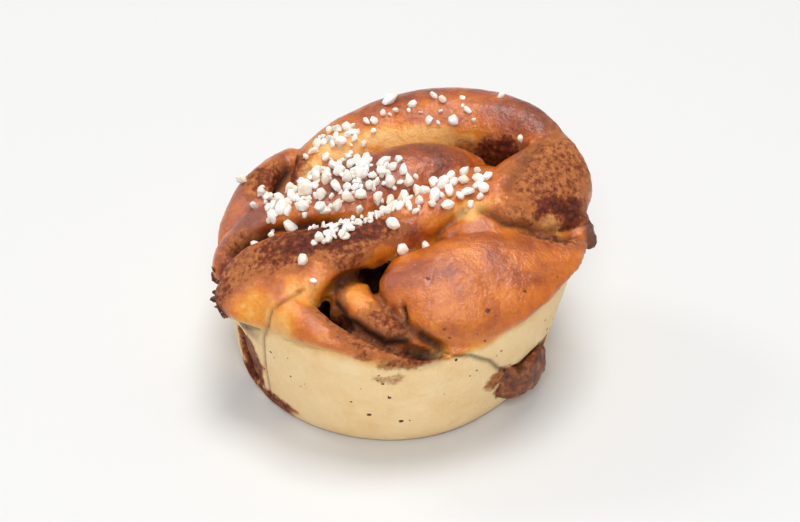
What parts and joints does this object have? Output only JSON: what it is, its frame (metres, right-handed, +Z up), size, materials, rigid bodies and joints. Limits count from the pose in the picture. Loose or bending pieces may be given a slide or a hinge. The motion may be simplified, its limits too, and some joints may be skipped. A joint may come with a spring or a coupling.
{
  "type": "cinnamon bun",
  "caption": "Knotted cinnamon bun baked in a round cup: pale tapered drum, browned twisted top, cinnamon layer and pearl sugar.",
  "frame": {"origin": "middle of the base of the box round the bun, on the face it rests on", "axes": "+Z up, -Y towards the side with the open coil, +X towards the side with the caramel lump"},
  "size_m": [0.095, 0.087, 0.0553],
  "materials": {
    "baked_dough": "satin",
    "cinnamon_filling": "satin"
  },
  "bodies": {
    "root": {"dough": "baked_dough", "cinnamon_filling": "cinnamon_filling"}
  },
  "joints": []
}
